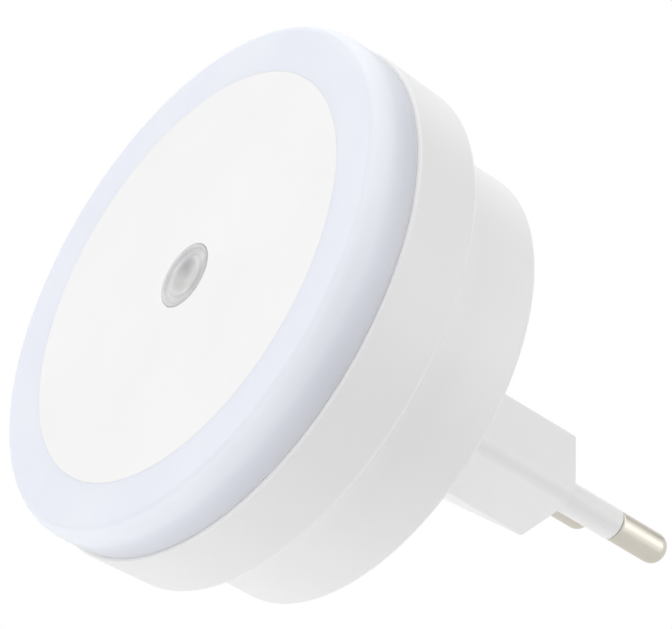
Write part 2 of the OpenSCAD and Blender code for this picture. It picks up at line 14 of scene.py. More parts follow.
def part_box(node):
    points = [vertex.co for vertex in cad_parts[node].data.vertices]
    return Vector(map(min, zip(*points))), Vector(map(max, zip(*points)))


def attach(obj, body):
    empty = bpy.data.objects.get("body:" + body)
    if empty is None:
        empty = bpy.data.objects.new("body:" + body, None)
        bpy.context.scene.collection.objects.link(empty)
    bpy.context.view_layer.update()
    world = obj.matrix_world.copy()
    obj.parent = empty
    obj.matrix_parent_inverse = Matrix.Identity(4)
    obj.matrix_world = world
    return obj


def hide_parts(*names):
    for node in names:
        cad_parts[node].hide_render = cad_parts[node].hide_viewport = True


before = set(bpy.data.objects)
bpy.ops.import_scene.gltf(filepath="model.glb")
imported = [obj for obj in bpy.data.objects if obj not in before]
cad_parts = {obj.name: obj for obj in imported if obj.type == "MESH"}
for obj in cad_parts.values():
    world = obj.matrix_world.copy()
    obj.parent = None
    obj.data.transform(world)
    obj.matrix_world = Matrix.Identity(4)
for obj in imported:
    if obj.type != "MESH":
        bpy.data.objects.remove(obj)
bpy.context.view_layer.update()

MM = 0.001


# --------------------------------------------------------------------- camera

CAMERA_AT = Vector((0.574775, -0.345889, -0.032326))
LOOK_AT = Vector((-0.013402, -0.025233, 0.006167))
CAMERA_ROLL = math.radians(29.16)
LENS = 289.2
SENSOR_WIDTH = 36
NEAREST_SEEN = 0.02


def photo_camera():
    """The camera at the photograph's angle, turned about its own line."""
    camera = bpy.data.objects.new("photo_camera",
                                  bpy.data.cameras.new("photo_camera"))
    camera.data.sensor_width = SENSOR_WIDTH
    camera.data.lens = LENS
    camera.data.clip_start = NEAREST_SEEN
    away = (CAMERA_AT - LOOK_AT).normalized()
    side = Vector((0, 0, 1)).cross(away).normalized()
    above = away.cross(side)
    right = side * math.cos(CAMERA_ROLL) + above * math.sin(CAMERA_ROLL)
    up = above * math.cos(CAMERA_ROLL) - side * math.sin(CAMERA_ROLL)
    turn = Matrix((right, up, away)).transposed().to_4x4()
    camera.matrix_world = Matrix.Translation(CAMERA_AT) @ turn
    bpy.context.scene.collection.objects.link(camera)
    bpy.context.scene.camera = camera


photo_camera()


def span(node):
    """A node's lowest and highest corner in millimetres, as (x, level, z)."""
    low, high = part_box(node)
    return (Vector((low.x, -high.y, low.z)) / MM,
            Vector((high.x, -low.y, high.z)) / MM)


# ------------------------------------------------------------------ dimensions

ring_low, ring_high = span("diffuser_ring")
disc_low, disc_high = span("front_disc")
window_low, window_high = span("sensor_window")
house_low, house_high = span("rear_housing")
pin_low, pin_high = span("live_pin")

# Fits, walls and edges
PRESS_GAP = 0.05
SEAT_GAP = 0.1
SEAM_GAP = 0.02
WALL = 2.0
CUT = 1.0
CRISP_EDGE = 0.03
SMALL_EDGE = 0.1
EDGE = 0.2
SOFT_EDGE = 0.3
CHANNEL_EDGE = 0.4

# Ring
RING_ROUND_WIDTH = 1.5
RING_ROUND_DEPTH = 2.5
RING_INSET = 0.2
RING_TUCK = 0.35
JOINT_GAP = 0.01
JOINT_EDGE = 0.015
RING_FRONT = 2.0
RING_WALL = 1.2
LEDGE_WIDTH = 1.8
LEDGE = 1.4
SKIRT = 1.4
BEAD_R = 0.4
BEAD_STEPS = 16

# Front disc and window
DISC = 1.8
DISC_WALL = 1.1
WINDOW_LEDGE = 0.4
WINDOW_SEAT_EDGE = 0.8
WINDOW_SEAT_ROUND = 0.05
WINDOW_EDGE = 0.12
WINDOW_RIM = 0.35
GROOVE = 0.3
GROOVE_SLOPE = 0.3
LENS_R = 2.7
LENS_SLOPE = 0.25
LENS_LIP = 0.3
LENS_SUNK = 0.08
BOWL = 0.4
DISC_BACK_EDGE = 0.15

# Housing
RIM_DRAFT = 0.55
STEP_WIDTH = 4.5
NARROW_DRAFT = 0.3
WIDE_DEPTH = 9.6
NARROW_DEPTH = 13.8
EDGE_R = 0.8
LIP_R = 0.35
INNER_FILLET = 0.6
POST_R = 2.8
PAD_R = 3.0
PAD_HEIGHT = 3.0
POST_WALL_GAP = 1.2
POST_ANGLES = (90, 210, 330)
ROOT = 0.5
RIB = 1.2
RIB_DROP = 2.0
PILOT_R = 1.15
BOARD_PILOT = 5.9
EAR_PILOT = 4.0
OPENING_FLARE = 0.2

# Plug
PLUG_HEIGHT = 14.0
PLUG_WIDTH = 33.4
PLUG_APEX_R = 2.0
PLUG_CORNER_R = 0.8
PLUG_FACE_R = 0.45
LEAST_CORNER_R = 0.3
PLUG_BLOCK = 9.0
PLUG_WALL = 1.8
FLANGE = 2.0
FLANGE_R = 3.0
EAR_GAP = 0.6
EAR_HOLE_R = 1.2
POST_ROOM = 0.5

# Pins and sleeves
PIN_R = 2.0
PIN_TIP_R = 1.6
PIN_SHOULDER_R = 0.3
PIN_CORE_R = 1.4
PIN_HEAD_R = 2.6
PIN_HEAD = 1.2
PIN_CUP_R = 1.5
PIN_CUP = 6.0
CUP_HOLE_R = 0.55
CUP_DEPTH = 4.0
HEAD_EDGE = 0.15
SLEEVE_R = 2.05
SLEEVE_LENGTH = 10.8
SLEEVE_SEAT = 3.0
SLEEVE_END_R = 0.25
SLEEVE_BORE_EDGE = 0.08

# Levels
face = ring_high.y
back = house_low.y
floor_level = back + WALL
step = back + NARROW_DEPTH
shelf = step + WALL
seam = step + WIDE_DEPTH
pad_top = floor_level + PAD_HEIGHT
flange_top = pad_top + FLANGE
board_level = span("circuit_board")[0].y
skirt_level = ring_low.y
bead_level = (seam + skirt_level) / 2
ledge_top = face - DISC
ledge_bottom = ledge_top - LEDGE

# Radii about the light's middle line
rim_r = house_high.x
ring_r = rim_r - RING_INSET
wide_back_r = rim_r - RIM_DRAFT
wide_in_r = wide_back_r - WALL
narrow_front_r = wide_back_r - STEP_WIDTH
narrow_back_r = narrow_front_r - NARROW_DRAFT
narrow_in_r = narrow_back_r - WALL
skirt_out_r = wide_in_r - SEAT_GAP
skirt_in_r = skirt_out_r - SKIRT
bead_path_r = skirt_out_r - PRESS_GAP
disc_r = disc_high.x
recess_r = disc_r + SEAT_GAP
channel_in_r = recess_r + RING_WALL
ledge_in_r = recess_r - LEDGE_WIDTH
disc_skirt_r = ledge_in_r - SEAT_GAP
window_r = window_high.x
shroud_r = span("sensor_shroud")[1].x
post_circle_r = narrow_in_r - POST_R - POST_WALL_GAP
ear_x = PLUG_WIDTH / 2 + PAD_R + EAR_GAP
pin_x = (pin_low.x + pin_high.x) / 2

# Mesh detail; radii closer than SAME are the same
ROUND_STEPS = 8
BIG_ROUND_STEPS = 40
LATHE_STEPS = 288
WINDOW_STEPS = 144
SMALL_LATHE_STEPS = 96
PILOT_STEPS = 48
SAME = 1e-4
SHARP_ANGLE = math.radians(32)


# ------------------------------------------------------------------- outlines

def corner_arc(a, b, c, radius):
    """Points of the arc that rounds the corner b between a and c."""
    if radius <= 0:
        return [b]
    u, v = (a - b).normalized(), (c - b).normalized()
    half = u.angle(v) / 2
    centre = b + (u + v).normalized() * radius / math.sin(half)
    first = b + u * radius / math.tan(half) - centre
    last = b + v * radius / math.tan(half) - centre
    sweep = first.angle(last)
    points = []
    for i in range(ROUND_STEPS + 1):
        t = i / ROUND_STEPS
        direction = (first * math.sin((1 - t) * sweep)
                     + last * math.sin(t * sweep)) / math.sin(sweep)
        points.append(centre + direction)
    return points


def rounded(corners, radii):
    """An outline through corners, each rounded by its own radius."""
    points = [Vector(corner) for corner in corners]
    outline = []
    for i, radius in enumerate(radii):
        outline += corner_arc(points[i - 1], points[i],
                              points[(i + 1) % len(points)], radius)
    return outline


def plug_outline(grow):
    """The plug's six-sided outline with slanted ends, grown by a margin."""
    h = PLUG_HEIGHT / 2 + grow
    w = PLUG_WIDTH / 2 + grow * math.sqrt(2)
    f = w - h
    apex = max(PLUG_APEX_R + grow, LEAST_CORNER_R)
    corner = max(PLUG_CORNER_R + grow, LEAST_CORNER_R)
    return rounded([(w, 0), (f, h), (-f, h), (-w, 0), (-f, -h), (f, -h)],
                   [apex, corner, corner, apex, corner, corner])


def with_bead(corners, wall_r, radius):
    """An outline whose wall gets the snap bead, or the groove for it."""
    reach = math.acos((wall_r - bead_path_r) / radius)
    angles = [reach - 2 * reach * i / BEAD_STEPS
              for i in range(BEAD_STEPS + 1)]
    bead = [Vector((bead_path_r + radius * math.cos(a),
                    bead_level + radius * math.sin(a))) for a in angles]
    first = next(i for i, point in enumerate(corners)
                 if abs(point.x - wall_r) < SAME and point.y < bead_level)
    return corners[:first] + bead + corners[first:]


# ------------------------------------------------------------------ mesh tools

def place(across, level, up):
    """A point in the frame, in metres, from millimetres."""
    return Vector((across, -level, up)) * MM


def new_piece(name, mesh):
    """Link a mesh with closed, outward, smooth faces and sharp corners."""
    work = bmesh.new()
    work.from_mesh(mesh)
    bmesh.ops.recalc_face_normals(work, faces=work.faces)
    for one in work.faces:
        one.smooth = True
    work.to_mesh(mesh)
    work.free()
    mesh.set_sharp_from_angle(angle=SHARP_ANGLE)
    piece = bpy.data.objects.new(name, mesh)
    bpy.context.scene.collection.objects.link(piece)
    return piece


def lathe(name, outline, steps=LATHE_STEPS, centre=(0, 0)):
    """A closed piece turned about a line along Y from (radius, level)."""
    work = bmesh.new()
    rings = []
    for radius, level in outline:
        if radius < SAME:
            rings.append([work.verts.new(place(centre[0], level, centre[1]))])
            continue
        ring = []
        for i in range(steps):
            a = 2 * math.pi * i / steps
            ring.append(work.verts.new(place(
                centre[0] + radius * math.cos(a), level,
                centre[1] + radius * math.sin(a))))
        rings.append(ring)
    for k, ring in enumerate(rings):
        other = rings[(k + 1) % len(rings)]
        if len(ring) == 1 and len(other) == 1:
            continue
        for i in range(steps):
            j = (i + 1) % steps
            if len(ring) == 1:
                work.faces.new((ring[0], other[j], other[i]))
            elif len(other) == 1:
                work.faces.new((ring[i], ring[j], other[0]))
            else:
                work.faces.new((ring[i], ring[j], other[j], other[i]))
    mesh = bpy.data.meshes.new(name)
    work.to_mesh(mesh)
    work.free()
    return new_piece(name, mesh)


def stack(name, loops):
    """A closed, capped piece through loops of (across, level, up)."""
    work = bmesh.new()
    rings = [[work.verts.new(place(*point)) for point in loop]
             for loop in loops]
    for ring, other in zip(rings, rings[1:]):
        for i in range(len(ring)):
            j = (i + 1) % len(ring)
            work.faces.new((ring[i], ring[j], other[j], other[i]))
    work.faces.new(rings[0][::-1])
    work.faces.new(rings[-1])
    mesh = bpy.data.meshes.new(name)
    work.to_mesh(mesh)
    work.free()
    return new_piece(name, mesh)


def prism(name, outline, low, high):
    """An outline of (across, up) stretched between two levels."""
    return stack(name, [[(x, level, z) for x, z in outline]
                        for level in (low, high)])


def rod(name, x, z, radius, low, high, steps=SMALL_LATHE_STEPS):
    """A straight round rod between two levels."""
    return lathe(name, [(0, low), (radius, low), (radius, high), (0, high)],
                 steps, (x, z))


def combine(piece, others, operation):
    """Join pieces to a piece, or cut them out of it, and drop them."""
    for other in others:
        modifier = piece.modifiers.new("combine", "BOOLEAN")
        modifier.operation = operation
        modifier.solver = "EXACT"
        modifier.object = other
    bpy.context.view_layer.update()
    graph = bpy.context.evaluated_depsgraph_get()
    mesh = bpy.data.meshes.new_from_object(piece.evaluated_get(graph))
    piece.modifiers.clear()
    old, piece.data = piece.data, mesh
    bpy.data.meshes.remove(old)
    for other in others:
        bpy.data.meshes.remove(other.data)
    for one in mesh.polygons:
        one.use_smooth = True
    mesh.set_sharp_from_angle(angle=SHARP_ANGLE)
    return piece


def finish_piece(piece, material, slot, *replaced):
    """Give a piece its finish and its place in the frame; hide the CAD nodes
    it replaces.
    """
    normals = piece.modifiers.new("normals", "WEIGHTED_NORMAL")
    normals.keep_sharp = True
    piece.data.materials.clear()
    piece.data.materials.append(material)
    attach(piece, "root")
    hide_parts(*replaced)
    return piece


def around(radius, angles):
    """Places on a circle as (x, z)."""
    return [(radius * math.cos(math.radians(a)),
             radius * math.sin(math.radians(a))) for a in angles]


# ------------------------------------------------------------------- materials

# Most of a noise texture's values lie between these two.
NOISE_LOW = 0.3
NOISE_HIGH = 0.7
SHEEN_SPREAD = 0.04
PLATED_SHEEN_SPREAD = 0.03
HAZE_LOW = 0.35
HAZE_HIGH = 0.65
HAZE_TONE = 0.88
STAIN_TONE = 0.97
CLEAR_IOR = 1.5


class Finish:
    """A node material under construction, read in metres of the frame."""

    def __init__(self, name):
        self.material = bpy.data.materials.new(name)
        self.material.use_nodes = True
        self.tree = self.material.node_tree
        self.shader = self.tree.nodes["Principled BSDF"]
        self.place = self.node("ShaderNodeTexCoord").outputs["Object"]

    def node(self, kind, **settings):
        made = self.tree.nodes.new(kind)
        for key, value in settings.items():
            setattr(made, key, value)
        return made

    def link(self, source, target):
        self.tree.links.new(source, target)

    def set(self, **values):
        """Set plain values on the shader, with _ for each space in a name."""
        for key, value in values.items():
            socket = self.shader.inputs[key.replace("_", " ")]
            socket.default_value = value

    def noise(self, scale, detail, stretch=(1, 1, 1)):
        """Noise of that many lumps in a metre, squeezed along each axis."""
        mapping = self.node("ShaderNodeMapping")
        mapping.inputs["Scale"].default_value = stretch
        self.link(self.place, mapping.inputs["Vector"])
        made = self.node("ShaderNodeTexNoise")
        made.inputs["Scale"].default_value = scale
        made.inputs["Detail"].default_value = detail
        self.link(mapping.outputs["Vector"], made.inputs["Vector"])
        return made.outputs["Fac"]

    def ramp(self, factor, stops):
        """A colour ramp with (place, colour) stops."""
        made = self.node("ShaderNodeValToRGB")
        elements = made.color_ramp.elements
        while len(elements) < len(stops):
            elements.new(0.5)
        for element, (at, colour) in zip(elements, stops):
            element.position = at
            element.color = (*colour, 1)
        self.link(factor, made.inputs["Fac"])
        return made.outputs["Color"]

    def spread(self, factor, low, high):
        """A noise stretched between two values."""
        made = self.node("ShaderNodeMapRange")
        made.inputs["From Min"].default_value = NOISE_LOW
        made.inputs["From Max"].default_value = NOISE_HIGH
        made.inputs["To Min"].default_value = low
        made.inputs["To Max"].default_value = high
        self.link(factor, made.inputs["Value"])
        return made.outputs["Result"]

    def level(self):
        """The distance from the plug's face towards the room, in mm."""
        split = self.node("ShaderNodeSeparateXYZ")
        self.link(self.place, split.inputs[0])
        made = self.node("ShaderNodeMath", operation="DIVIDE")
        made.inputs[1].default_value = -MM
        self.link(split.outputs["Y"], made.inputs[0])
        return made.outputs[0]

    def radius(self, across, up):
        """The distance in mm from a line along Y through (across, up)."""
        flat = self.node("ShaderNodeVectorMath", operation="MULTIPLY_ADD")
        flat.inputs[1].default_value = (1 / MM, 0, 1 / MM)
        flat.inputs[2].default_value = (-across, 0, -up)
        self.link(self.place, flat.inputs[0])
        made = self.node("ShaderNodeVectorMath", operation="LENGTH")
        self.link(flat.outputs[0], made.inputs[0])
        return made.outputs["Value"]

    def shaded(self, colours, value, stops):
        """Colours times the tints of (value, tint) stops, lowest first."""
        first, last = stops[0][0], stops[-1][0]
        made = self.node("ShaderNodeMapRange")
        made.inputs["From Min"].default_value = first
        made.inputs["From Max"].default_value = last
        self.link(value, made.inputs["Value"])
        tints = self.ramp(made.outputs["Result"], [
            ((at - first) / (last - first), tint) for at, tint in stops])
        mix = self.node("ShaderNodeMix", data_type="RGBA",
                        blend_type="MULTIPLY")
        # The mix node's sockets 6, 7 and 2 are its colours A, B and Result.
        mix.inputs["Factor"].default_value = 1.0
        self.link(colours, mix.inputs[6])
        self.link(tints, mix.inputs[7])
        return mix.outputs[2]

    def bump(self, height, depth, under=None):
        """Bump of that depth in metres; under is a bump below this one."""
        made = self.node("ShaderNodeBump")
        made.inputs["Distance"].default_value = depth
        self.link(height, made.inputs["Height"])
        if under:
            self.link(under, made.inputs["Normal"])
        return made.outputs["Normal"]

    def feed(self, source, name):
        """Link a value to a socket of the shader."""
        self.link(source, self.shader.inputs[name])

    def sheen(self, noise, roughness, spread):
        """Roughness that wanders by the spread to either side."""
        self.feed(self.spread(noise, roughness - spread, roughness + spread),
                  "Roughness")


def tinted(colour, factor):
    """A colour made lighter or darker, up to white."""
    return tuple(min(c * factor, 1) for c in colour)


def grey(tone):
    return (tone, tone, tone)


def plastic(name, colour, roughness, grain=4200, grain_depth=2e-6,
            flow=60, tone=0.012, ripple_depth=0.0, painted_light_levels=None, **values):
    """Moulded plastic: faint flow tones, a fine grain and an uneven sheen.

    grain and flow are lumps in a metre, and the depths are in metres. The
    sheen is eight times as fine as the flow, and the ripples twice.
    """
    finish = Finish(name)
    colours = finish.ramp(finish.noise(flow, detail=3), [
        (NOISE_LOW, tinted(colour, 1 - tone)),
        (NOISE_HIGH, tinted(colour, 1 + tone))])
    # painted_light_levels are (level, tint) stops of painted light and shade.
    if painted_light_levels:
        colours = finish.shaded(colours, finish.level(), painted_light_levels)
    finish.feed(colours, "Base Color")
    finish.sheen(finish.noise(flow * 8, detail=3), roughness, SHEEN_SPREAD)
    normal = finish.bump(finish.noise(grain, detail=2), grain_depth)
    if ripple_depth:
        normal = finish.bump(finish.noise(flow * 2, detail=1), ripple_depth,
                             under=normal)
    finish.feed(normal, "Normal")
    finish.set(**values)
    return finish.material


def clear(name, colour, roughness, through, painted_shades=()):
    """Clear moulding with faint haze; through is the share that it lets by.

    painted_shades are (centre, stops): tints of painted light and shade by the
    distance from (across, up).
    """
    finish = Finish(name)
    colours = finish.ramp(finish.noise(400, detail=2), [
        (HAZE_LOW, tinted(colour, HAZE_TONE)), (HAZE_HIGH, colour)])
    for centre, stops in painted_shades:
        colours = finish.shaded(colours, finish.radius(*centre), stops)
    finish.feed(colours, "Base Color")
    finish.feed(finish.bump(finish.noise(900, detail=1), depth=1e-6),
                "Normal")
    finish.set(Roughness=roughness, IOR=CLEAR_IOR,
               Transmission_Weight=through)
    return finish.material


def plated(name, colour, roughness):
    """Polished plating with fine turning marks and faint stains."""
    finish = Finish(name)
    finish.feed(finish.ramp(finish.noise(200, detail=3), [
        (NOISE_LOW, tinted(colour, STAIN_TONE)), (NOISE_HIGH, colour)]),
        "Base Color")
    finish.sheen(finish.noise(400, detail=2), roughness,
                 PLATED_SHEEN_SPREAD)
    marks = finish.noise(600, detail=2, stretch=(1, 8, 1))
    finish.feed(finish.bump(marks, depth=4e-7), "Normal")
    finish.set(Metallic=1.0)
    return finish.material


# Painted light and shade: tints by the distance below the lit face that stand
# in for the light the ring scatters, lighter on the rounded front and darker
# towards the seam and at the sharp edge round the disc.
RING_PAINTED_LIGHT_AND_SHADE = (
    (6.75, (0.85, 0.84, 0.85)), (6.5, (0.77, 0.76, 0.785)),
    (5.8, (0.775, 0.765, 0.80)), (4.9, (0.79, 0.785, 0.835)),
    (4.1, (0.825, 0.825, 0.865)), (3.6, (0.85, 0.85, 0.90)),
    (2.5, (0.935, 0.94, 0.975)), (1.8, (0.965, 0.965, 1)),
    (0.6, (0.965, 0.965, 1)), (0.35, (0.945, 0.945, 0.985)),
    (0.12, (0.885, 0.885, 0.925)), (0, (0.875, 0.875, 0.915)))

# Painted light by level: painted highlights at the rounded edges of the back,
# step and seam, and lighter on the narrow tier towards the step, against the
# shade in that corner.
HOUSING_PAINTED_LIGHT = (
    (back, 1), (back + 0.35, 1), (back + 0.8, 0.93), (step - 5, 0.93),
    (step - 0.6, 0.985), (step, 1), (step + 0.35, 1), (step + 0.8, 0.91),
    (seam - 0.4, 0.91), (seam - 0.25, 0.93), (seam, 0.93))

# Painted shade and light on the window: the lens's bowl darker with a lighter
# lip, painted shade on the upper side of the bowl and on the groove's far
# side.
WINDOW_PAINTED_LIGHT_AND_SHADE = (
    ((0, 0), ((0, grey(0.86)), (2.0, (0.88, 0.88, 0.87)),
              (2.35, grey(0.98)), (2.7, grey(0.98)),
              (3.0, (0.97, 0.97, 0.98)), (3.6, (0.97, 0.97, 0.98)),
              (4.1, grey(0.98)))),
    ((-1.1, 1.3), ((0, (0.66, 0.66, 0.69)), (0.8, (0.74, 0.74, 0.76)),
                   (2.0, grey(0.96)), (8, grey(1)))),
    ((-2.5, 0), ((0, grey(1)), (4.9, grey(1)), (5.6, (0.82, 0.82, 0.81)),
                 (7, (0.82, 0.82, 0.81)))))

disc_plastic = plastic("disc_plastic", grey(0.90), roughness=0.5,
                       grain_depth=3e-6)
# The ring's colour, with its painted light and shade by level, stands in for
# the light it scatters inside.
ring_plastic = plastic(
    "ring_plastic", (0.925, 0.955, 1.0), roughness=0.42, flow=90, tone=0.015,
    painted_light_levels=[(face - drop, tint) for drop, tint in RING_PAINTED_LIGHT_AND_SHADE],
    Subsurface_Weight=0.12, Subsurface_Scale=0.002,
    Subsurface_Radius=(1.0, 1.0, 1.0))
housing_plastic = plastic(
    "housing_plastic", grey(0.96), roughness=0.36, ripple_depth=1.5e-5,
    painted_light_levels=[(level, grey(tone)) for level, tone in HOUSING_PAINTED_LIGHT])
plug_plastic = plastic("plug_plastic", grey(0.89), roughness=0.36)
sleeve_plastic = plastic("sleeve_plastic", (0.89, 0.89, 0.885),
                         roughness=0.36)
window_clear = clear("window_clear", grey(0.97), roughness=0.2, through=0.25,
                     painted_shades=WINDOW_PAINTED_LIGHT_AND_SHADE)
sensor_clear = clear("sensor_clear", (0.80, 0.81, 0.83), roughness=0.2,
                     through=0.5)
pin_nickel = plated("pin_nickel", (0.635, 0.605, 0.535), roughness=0.31)


# ------------------------------------------------------------- visible pieces

def diffuser_ring():
    """The ring: a rounded front, a flank that draws in, and a snap skirt."""
    bottom = seam + SEAM_GAP
    roof = face - RING_FRONT
    widest = face - RING_ROUND_DEPTH
    rounding = []
    for i in range(BIG_ROUND_STEPS + 1):
        a = math.pi / 2 * i / BIG_ROUND_STEPS
        rounding.append(Vector((
            ring_r - RING_ROUND_WIDTH * (1 - math.sin(a)),
            face - RING_ROUND_DEPTH * (1 - math.cos(a)))))
    for i in range(1, BIG_ROUND_STEPS + 1):
        t = i / BIG_ROUND_STEPS
        rounding.append(Vector((ring_r - RING_TUCK * t * t,
                                widest + (bottom - widest) * t)))
    rest = [(skirt_out_r, bottom),
            (skirt_out_r, skirt_level), (skirt_in_r, skirt_level),
            (skirt_in_r, roof), (channel_in_r, roof),
            (channel_in_r, ledge_bottom), (ledge_in_r, ledge_bottom),
            (ledge_in_r, ledge_top), (recess_r, ledge_top),
            (recess_r, face)]
    corners = rounded(
        [rounding[-2], rounding[-1], *rest, rounding[0]],
        [0, CRISP_EDGE, SMALL_EDGE, SOFT_EDGE, EDGE, CHANNEL_EDGE,
         CHANNEL_EDGE, EDGE, EDGE, SMALL_EDGE, SMALL_EDGE, JOINT_EDGE, 0])
    outline = rounding[:-2] + with_bead(corners[:-1], skirt_out_r, BEAD_R)
    return finish_piece(lathe("ring_diffuser", outline), ring_plastic,
                        "ring_translucent", "diffuser_ring")


def front_disc():
    """The disc, with a skirt inside the ring and a collar round the shroud."""
    collar_in_r = shroud_r + SEAT_GAP
    collar_out_r = collar_in_r + DISC_WALL
    seat_r = window_r + PRESS_GAP
    hole_r = seat_r - WINDOW_SEAT_EDGE
    inner_r = disc_skirt_r - DISC_WALL
    skirt_end = disc_low.y
    seat = ledge_top + WINDOW_LEDGE
    edge_r = recess_r - JOINT_GAP
    outline = rounded(
        [(edge_r, face), (edge_r, ledge_top), (disc_skirt_r, ledge_top),
         (disc_skirt_r, skirt_end), (inner_r, skirt_end),
         (inner_r, ledge_top), (collar_out_r, ledge_top),
         (collar_out_r, skirt_end), (collar_in_r, skirt_end),
         (collar_in_r, ledge_top), (hole_r, ledge_top), (hole_r, seat),
         (seat_r, seat), (seat_r, face)],
        [JOINT_EDGE, DISC_BACK_EDGE, SMALL_EDGE, EDGE, EDGE, SOFT_EDGE,
         SOFT_EDGE, EDGE, EDGE, SMALL_EDGE, SMALL_EDGE, SMALL_EDGE,
         WINDOW_SEAT_ROUND, WINDOW_EDGE])
    return finish_piece(lathe("disc_front", outline), disc_plastic,
                        "disc_white", "front_disc")


def sensor_window():
    """The window: a groove inside its rim, and a lens with a shallow bowl."""
    low = window_low.y
    top = window_high.y
    groove = top - GROOVE
    lip = top - LENS_SUNK
    rim_in_r = window_r - WINDOW_RIM
    bowl_r = LENS_R - LENS_LIP
    bowl = []
    for i in range(1, ROUND_STEPS + 1):
        t = i / ROUND_STEPS
        bowl.append(Vector((bowl_r * (1 - t), lip - BOWL * t * (2 - t))))
    outline = rounded(
        [(0, low), (window_r, low), (window_r, top), (rim_in_r, top),
         (rim_in_r - GROOVE_SLOPE, groove), (LENS_R + LENS_SLOPE, groove),
         (LENS_R, lip), (bowl_r, lip), bowl[0]],
        [0, SMALL_EDGE, WINDOW_EDGE, WINDOW_EDGE, SMALL_EDGE, SMALL_EDGE,
         SMALL_EDGE, SMALL_EDGE, 0]) + bowl[1:]
    return finish_piece(lathe("window_lens", outline, WINDOW_STEPS),
                        window_clear, "clear_window", "sensor_window")


def rear_housing():
    """The stepped shell, with posts, ribs and pads inside and its openings."""
    corners = rounded(
        [(0, back), (narrow_back_r, back), (narrow_front_r, step),
         (wide_back_r, step), (rim_r, seam), (wide_in_r, seam),
         (wide_in_r, shelf), (narrow_in_r, shelf),
         (narrow_in_r, floor_level), (0, floor_level)],
        [0, EDGE_R, INNER_FILLET, EDGE_R, LIP_R, LIP_R, INNER_FILLET,
         INNER_FILLET, INNER_FILLET, 0])
    shell = lathe("housing_shell",
                  with_bead(corners, wide_in_r, BEAD_R + PRESS_GAP))

    inside = []
    sunk = floor_level - ROOT
    for angle, (x, z) in zip(POST_ANGLES, around(post_circle_r, POST_ANGLES)):
        inside.append(rod("post", x, z, POST_R, sunk, board_level))
        turn = math.radians(angle)
        reach = POST_R + POST_WALL_GAP + WALL / 2
        rib = [(x + along * math.cos(turn) - side * math.sin(turn),
                z + along * math.sin(turn) + side * math.cos(turn))
               for along, side in ((0, -RIB / 2), (reach, -RIB / 2),
                                   (reach, RIB / 2), (0, RIB / 2))]
        inside.append(prism("rib", rib, sunk, board_level - RIB_DROP))
    for side in (-1, 1):
        inside.append(rod("pad", side * ear_x, 0, PAD_R, sunk, pad_top))
    combine(shell, inside, "UNION")

    opening = stack("opening", [
        [(x, level, z) for x, z in plug_outline(SEAT_GAP + grow)]
        for level, grow in (
            (back - CUT, OPENING_FLARE), (back, OPENING_FLARE),
            (back + OPENING_FLARE, 0), (floor_level + CUT, 0))])
    pilots = [rod("pilot", x, z, PILOT_R, board_level - BOARD_PILOT,
                  board_level + CUT, PILOT_STEPS)
              for x, z in around(post_circle_r, POST_ANGLES)]
    pilots += [rod("pilot", side * ear_x, 0, PILOT_R, pad_top - EAR_PILOT,
                   pad_top + CUT, PILOT_STEPS) for side in (-1, 1)]
    combine(shell, [opening] + pilots, "DIFFERENCE")
    return finish_piece(shell, housing_plastic, "housing_white",
                        "rear_housing")


def plug_body():
    """The hollow plug, with a flange screwed to pads inside the housing."""
    loops = []
    for i in range(ROUND_STEPS + 1):
        a = math.pi / 2 * i / ROUND_STEPS
        inset = PLUG_FACE_R * (1 - math.sin(a))
        level = PLUG_FACE_R * (1 - math.cos(a))
        loops.append([(x, level, z) for x, z in plug_outline(-inset)])
    loops.append([(x, flange_top, z) for x, z in plug_outline(0)])
    body = stack("plug_shell", loops)

    far = span("plug_body")[1]
    plate = rounded([(far.x, -far.z), (far.x, far.z), (-far.x, far.z),
                     (-far.x, -far.z)], [FLANGE_R] * 4)
    combine(body, [prism("flange", plate, pad_top, flange_top)], "UNION")

    cuts = [prism("cavity", plug_outline(-PLUG_WALL), PLUG_BLOCK,
                  flange_top + CUT)]
    for side in (-1, 1):
        x = side * pin_x
        cuts += [
            rod("core", x, 0, PIN_CORE_R + PRESS_GAP, -CUT,
                PLUG_BLOCK + CUT),
            rod("seat", x, 0, SLEEVE_R + PRESS_GAP, -CUT, SLEEVE_SEAT),
            rod("head", x, 0, PIN_HEAD_R + PRESS_GAP, PLUG_BLOCK,
                flange_top + CUT),
            rod("ear", side * ear_x, 0, EAR_HOLE_R, pad_top - CUT,
                flange_top + CUT)]
    for x, z in around(post_circle_r, POST_ANGLES):
        cuts.append(rod("post", x, z, POST_R + POST_ROOM, pad_top - CUT,
                        flange_top + CUT))
    combine(body, cuts, "DIFFERENCE")
    return finish_piece(body, plug_plastic, "plug_white", "plug_body")


def contact_pin(name, x, node):
    """A pin with a round tip, a thin core in its sleeve and a solder cup."""
    tip = pin_low.y
    shoulder = -SLEEVE_LENGTH - PRESS_GAP
    head = PLUG_BLOCK + PIN_HEAD
    cup = head + PIN_CUP
    outline = rounded(
        [(0, tip), (PIN_R, tip), (PIN_R, shoulder), (PIN_CORE_R, shoulder),
         (PIN_CORE_R, PLUG_BLOCK), (PIN_HEAD_R, PLUG_BLOCK),
         (PIN_HEAD_R, head), (PIN_CUP_R, head), (PIN_CUP_R, cup),
         (CUP_HOLE_R, cup), (CUP_HOLE_R, cup - CUP_DEPTH),
         (0, cup - CUP_DEPTH)],
        [0, PIN_TIP_R, PIN_SHOULDER_R, SMALL_EDGE, SMALL_EDGE, HEAD_EDGE,
         HEAD_EDGE, SMALL_EDGE, EDGE, SMALL_EDGE, 0, 0])
    return finish_piece(lathe(name, outline, SMALL_LATHE_STEPS, (x, 0)),
                        pin_nickel, "pin_nickel", node)


